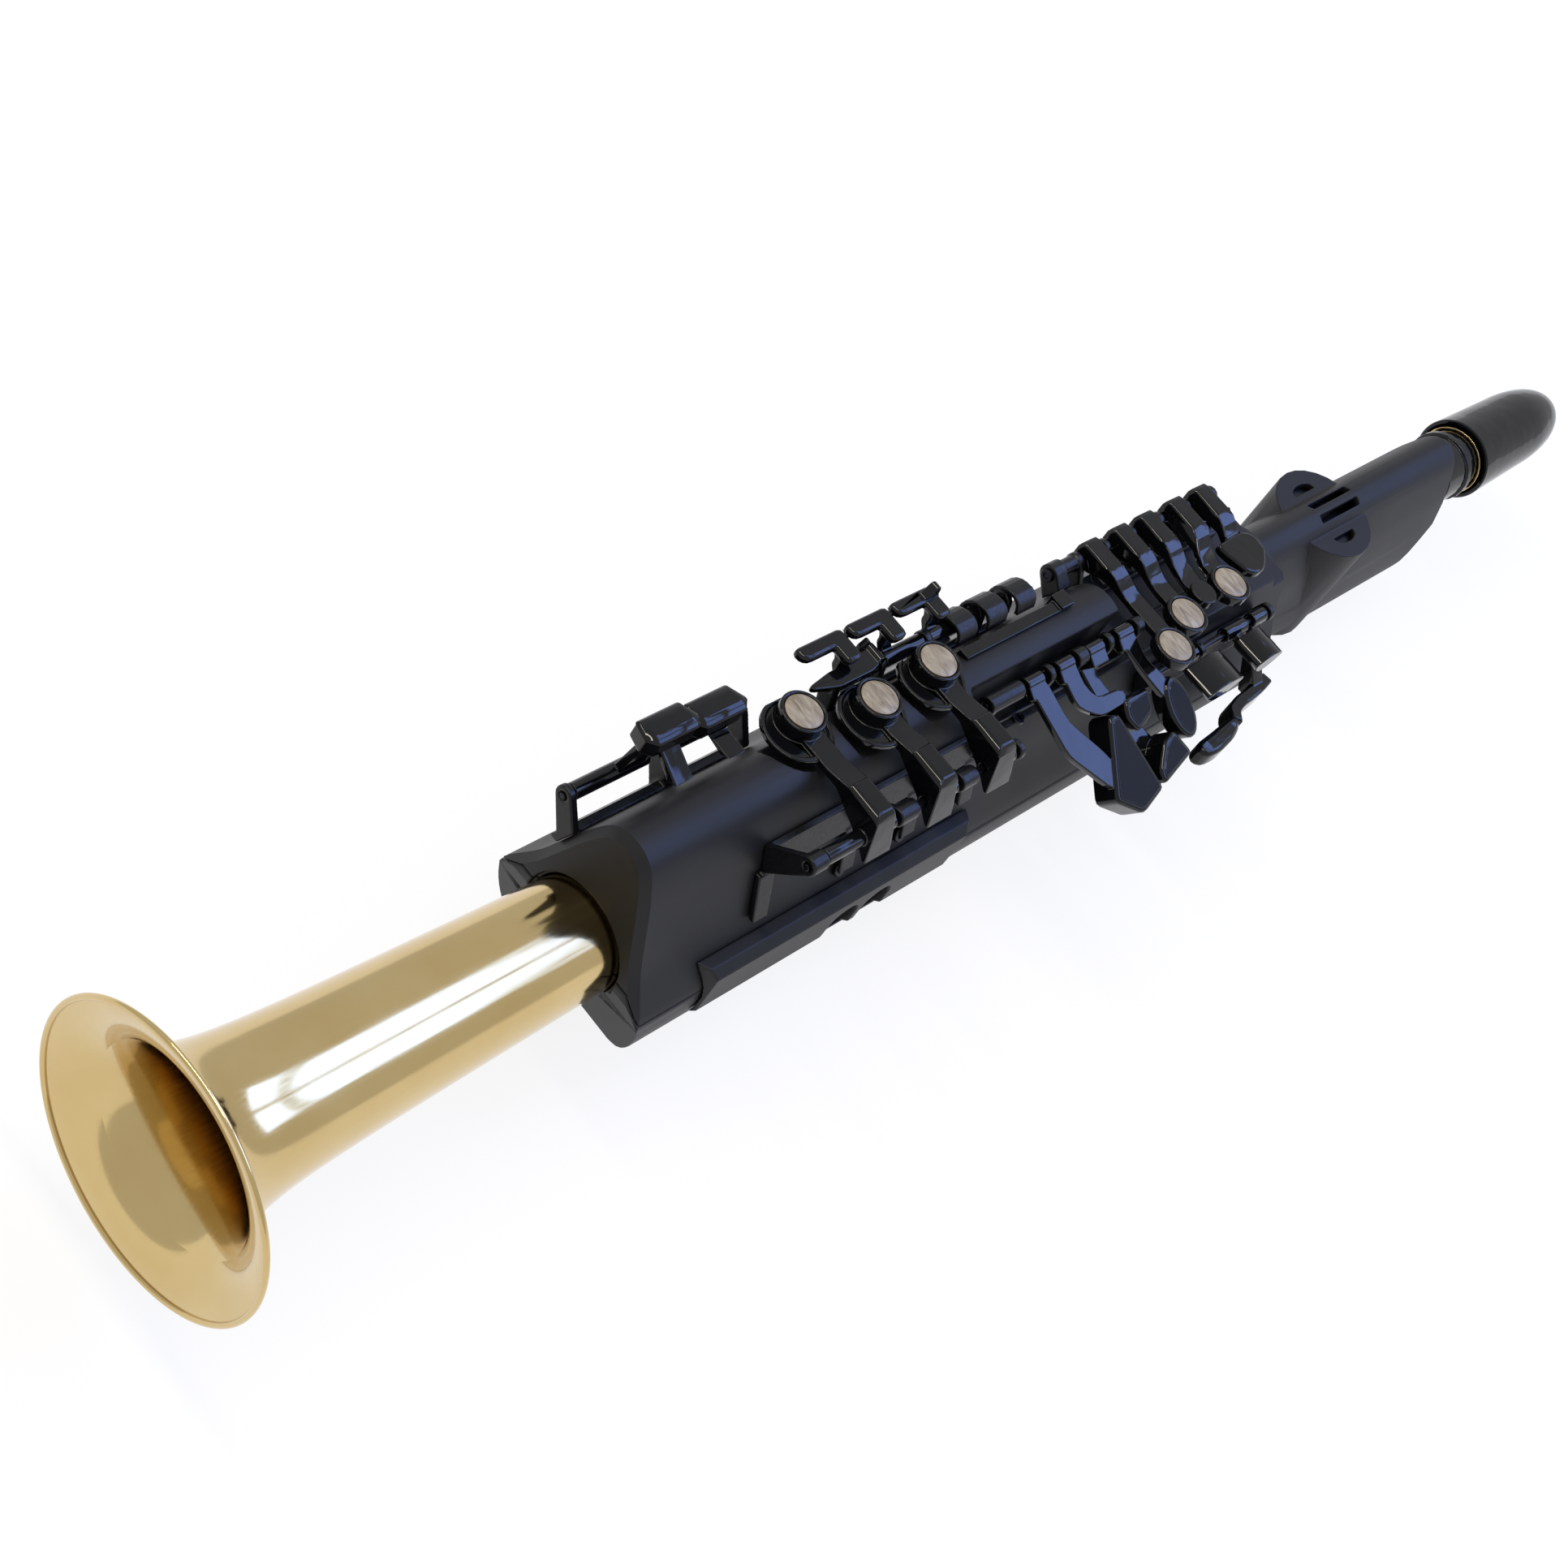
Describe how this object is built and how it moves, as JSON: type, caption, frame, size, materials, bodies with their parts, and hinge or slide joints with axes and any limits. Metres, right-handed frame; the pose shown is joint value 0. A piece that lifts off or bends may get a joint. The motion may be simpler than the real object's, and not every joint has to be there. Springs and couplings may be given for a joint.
{
  "type": "digital wind controller",
  "caption": "Straight saxophone-shaped electronic wind controller: brass bell, black moulded body, sprung keys on hinge rods, slim neck and capped mouthpiece.",
  "frame": {"origin": "middle of the face of the raised rest pad on the flat back of the body", "axes": "+X runs along the instrument from the bell to the mouthpiece, +Z out of the key side, +Y to the player's right"},
  "size_m": [0.6989, 0.1033, 0.1127],
  "materials": {
    "brass": "polished gold-coloured lacquer",
    "matte_black": "fine satin moulding",
    "gloss_black": "high gloss",
    "pearl": "polished imitation pearl",
    "steel": "drawn rod",
    "black_rubber": "matt",
    "circuit_board": "solder-masked laminate",
    "cell_wrap": "plain wrapped cells",
    "cane": "shaved cane",
    "cork": "greased cork over a plastic sleeve"
  },
  "bodies": {
    "instrument": {"bell": "brass", "front_shell": "matte_black", "back_cover": "matte_black", "main_board": "circuit_board", "battery_pack": "cell_wrap", "socket_block": "matte_black", "ridge_strip": "gloss_black", "right_key_frame": "gloss_black", "left_key_frame": "gloss_black", "low_key_frame": "gloss_black", "side_key_frame": "gloss_black", "table_key_frame": "gloss_black", "palm_key_frame": "matte_black", "right_hinge_rod": "steel", "low_hinge_rod": "steel", "side_hinge_rod": "steel", "left_hinge_rod": "steel", "table_hinge_rod": "steel", "neck_housing": "matte_black", "neck_collar": "black_rubber", "loudspeaker": "steel", "breath_sensor": "circuit_board", "mouthpiece_tenon": "cork", "strap_ring": "brass", "thumb_rest": "black_rubber"},
    "battery_door": {"battery_cover": "matte_black"},
    "thumb_hook_slide": {"thumb_hook": "gloss_black"},
    "octave_lever": {"octave_key": "gloss_black"},
    "power_switch": {"power_button": "black_rubber"},
    "mouthpiece_set": {"mouthpiece": "gloss_black", "reed": "cane", "ligature": "brass"},
    "cap": {"mouthpiece_cap": "gloss_black"},
    "right_index": {"right_index_key": "gloss_black", "right_index_pearl": "pearl"},
    "right_middle": {"right_middle_key": "gloss_black", "right_middle_pearl": "pearl"},
    "right_ring": {"right_ring_key": "gloss_black", "right_ring_pearl": "pearl"},
    "left_ring": {"left_ring_key": "gloss_black", "left_ring_pearl": "pearl"},
    "left_middle": {"left_middle_key": "gloss_black", "left_middle_pearl": "pearl"},
    "left_index": {"left_index_key": "gloss_black", "left_index_pearl": "pearl"},
    "bis": {"bis_key": "gloss_black"},
    "front_f": {"front_f_key": "gloss_black"},
    "low_c": {"low_c_key": "gloss_black"},
    "low_eflat": {"low_eflat_key": "gloss_black"},
    "side_bflat": {"side_bflat_key": "gloss_black"},
    "side_c": {"side_c_key": "gloss_black"},
    "side_high_e": {"side_high_e_key": "gloss_black"},
    "high_fsharp": {"high_fsharp_key": "gloss_black"},
    "low_bflat": {"low_bflat_key": "gloss_black"},
    "gsharp": {"gsharp_key": "gloss_black"},
    "csharp": {"csharp_key": "gloss_black"},
    "low_b": {"low_b_key": "gloss_black"},
    "palm_d": {"palm_d_key": "gloss_black"},
    "palm_eflat": {"palm_eflat_key": "gloss_black"},
    "palm_f": {"palm_f_key": "gloss_black"}
  },
  "joints": [
    {"name": "right_index_press", "type": "hinge", "parent": "instrument", "child": "right_index", "pos_m": [-0.064, -0.0275, 0.0726], "axis": [-1, 0, 0], "range_deg": [0, 2.7], "stiffness_Nm_per_rad": 0.1, "springref_deg": -6.88},
    {"name": "right_middle_press", "type": "hinge", "parent": "instrument", "child": "right_middle", "pos_m": [-0.093, -0.0275, 0.0726], "axis": [-1, 0, 0], "range_deg": [0, 2.7], "stiffness_Nm_per_rad": 0.1, "springref_deg": -6.88},
    {"name": "right_ring_press", "type": "hinge", "parent": "instrument", "child": "right_ring", "pos_m": [-0.119, -0.0275, 0.0726], "axis": [-1, 0, 0], "range_deg": [0, 1.8], "stiffness_Nm_per_rad": 0.1, "springref_deg": -6.88},
    {"name": "left_ring_press", "type": "hinge", "parent": "instrument", "child": "left_ring", "pos_m": [0.033, 0.017, 0.0731], "axis": [1, 0, 0], "range_deg": [0, 3.4], "stiffness_Nm_per_rad": 0.1, "springref_deg": -6.88},
    {"name": "left_middle_press", "type": "hinge", "parent": "instrument", "child": "left_middle", "pos_m": [0.049, 0.017, 0.0731], "axis": [1, 0, 0], "range_deg": [0, 3.4], "stiffness_Nm_per_rad": 0.1, "springref_deg": -6.88},
    {"name": "bis_press", "type": "hinge", "parent": "instrument", "child": "bis", "pos_m": [0.063, 0.017, 0.0731], "axis": [1, 0, 0], "range_deg": [0, 3.4], "stiffness_Nm_per_rad": 0.1, "springref_deg": -6.88},
    {"name": "left_index_press", "type": "hinge", "parent": "instrument", "child": "left_index", "pos_m": [0.079, 0.017, 0.0731], "axis": [1, 0, 0], "range_deg": [0, 3.4], "stiffness_Nm_per_rad": 0.1, "springref_deg": -6.88},
    {"name": "front_f_press", "type": "hinge", "parent": "instrument", "child": "front_f", "pos_m": [0.094, 0.017, 0.0731], "axis": [1, 0, 0], "range_deg": [0, 3.4], "stiffness_Nm_per_rad": 0.1, "springref_deg": -6.88},
    {"name": "low_c_press", "type": "hinge", "parent": "instrument", "child": "low_c", "pos_m": [-0.171, 0.0247, 0.0666], "axis": [1, 0, 0], "range_deg": [0, 4], "stiffness_Nm_per_rad": 0.1, "springref_deg": -6.88},
    {"name": "low_eflat_press", "type": "hinge", "parent": "instrument", "child": "low_eflat", "pos_m": [-0.139, 0.0247, 0.0666], "axis": [1, 0, 0], "range_deg": [0, 4], "stiffness_Nm_per_rad": 0.1, "springref_deg": -6.88},
    {"name": "side_bflat_press", "type": "hinge", "parent": "instrument", "child": "side_bflat", "pos_m": [-0.091, 0.0147, 0.0776], "axis": [1, 0, 0], "range_deg": [0, 3.5], "stiffness_Nm_per_rad": 0.1, "springref_deg": -6.88},
    {"name": "side_c_press", "type": "hinge", "parent": "instrument", "child": "side_c", "pos_m": [-0.069, 0.0147, 0.0776], "axis": [1, 0, 0], "range_deg": [0, 3.5], "stiffness_Nm_per_rad": 0.1, "springref_deg": -6.88},
    {"name": "side_high_e_press", "type": "hinge", "parent": "instrument", "child": "side_high_e", "pos_m": [-0.046, 0.0147, 0.0776], "axis": [1, 0, 0], "range_deg": [0, 3.5], "stiffness_Nm_per_rad": 0.1, "springref_deg": -6.88},
    {"name": "high_fsharp_press", "type": "hinge", "parent": "instrument", "child": "high_fsharp", "pos_m": [-0.081, 0.0153, 0.083], "axis": [0, -1, 0], "range_deg": [0, 3], "stiffness_Nm_per_rad": 0.1, "springref_deg": -6.88},
    {"name": "low_bflat_press", "type": "hinge", "parent": "instrument", "child": "low_bflat", "pos_m": [-0.024, -0.0114, 0.0726], "axis": [1, 0, 0], "range_deg": [0, 4], "stiffness_Nm_per_rad": 0.1, "springref_deg": -6.88},
    {"name": "gsharp_press", "type": "hinge", "parent": "instrument", "child": "gsharp", "pos_m": [-0.009, -0.0114, 0.0726], "axis": [1, 0, 0], "range_deg": [0, 4], "stiffness_Nm_per_rad": 0.1, "springref_deg": -6.88},
    {"name": "csharp_press", "type": "hinge", "parent": "instrument", "child": "csharp", "pos_m": [0.007, -0.0114, 0.0726], "axis": [1, 0, 0], "range_deg": [0, 4], "stiffness_Nm_per_rad": 0.1, "springref_deg": -6.88},
    {"name": "low_b_press", "type": "hinge", "parent": "instrument", "child": "low_b", "pos_m": [0.021, -0.0114, 0.0726], "axis": [1, 0, 0], "range_deg": [0, 4], "stiffness_Nm_per_rad": 0.1, "springref_deg": -6.88},
    {"name": "palm_d_press", "type": "hinge", "parent": "instrument", "child": "palm_d", "pos_m": [0.058, -0.0234, 0.0546], "axis": [1, 0, 0], "range_deg": [0, 8], "stiffness_Nm_per_rad": 0.1, "springref_deg": -6.88},
    {"name": "palm_eflat_press", "type": "hinge", "parent": "instrument", "child": "palm_eflat", "pos_m": [0.086, -0.0234, 0.0546], "axis": [1, 0, 0], "range_deg": [0, 8], "stiffness_Nm_per_rad": 0.1, "springref_deg": -6.88},
    {"name": "palm_f_press", "type": "hinge", "parent": "instrument", "child": "palm_f", "pos_m": [0.101, -0.0234, 0.0546], "axis": [1, 0, 0], "range_deg": [0, 7], "stiffness_Nm_per_rad": 0.1, "springref_deg": -6.88},
    {"name": "octave_press", "type": "hinge", "parent": "instrument", "child": "octave_lever", "pos_m": [0.093, 0, -0.0053], "axis": [0, 1, 0], "range_deg": [0, 5], "stiffness_Nm_per_rad": 0.1, "springref_deg": -6.88},
    {"name": "power_press", "type": "slide", "parent": "instrument", "child": "power_switch", "axis": [0, 0, 1], "range_m": [0, 0.0012], "stiffness_N_per_m": 600, "springref_m": -0.0015},
    {"name": "battery_door_out", "type": "slide", "parent": "instrument", "child": "battery_door", "axis": [0, 0, -1], "range_m": [0, 0.03]},
    {"name": "thumb_hook_adjust", "type": "slide", "parent": "instrument", "child": "thumb_hook_slide", "axis": [1, 0, 0], "range_m": [-0.004, 0.006]},
    {"name": "mouthpiece_pull", "type": "slide", "parent": "instrument", "child": "mouthpiece_set", "axis": [1, 0, 0], "range_m": [0, 0.03]},
    {"name": "cap_pull", "type": "slide", "parent": "mouthpiece_set", "child": "cap", "axis": [1, 0, 0], "range_m": [0, 0.08]}
  ]
}
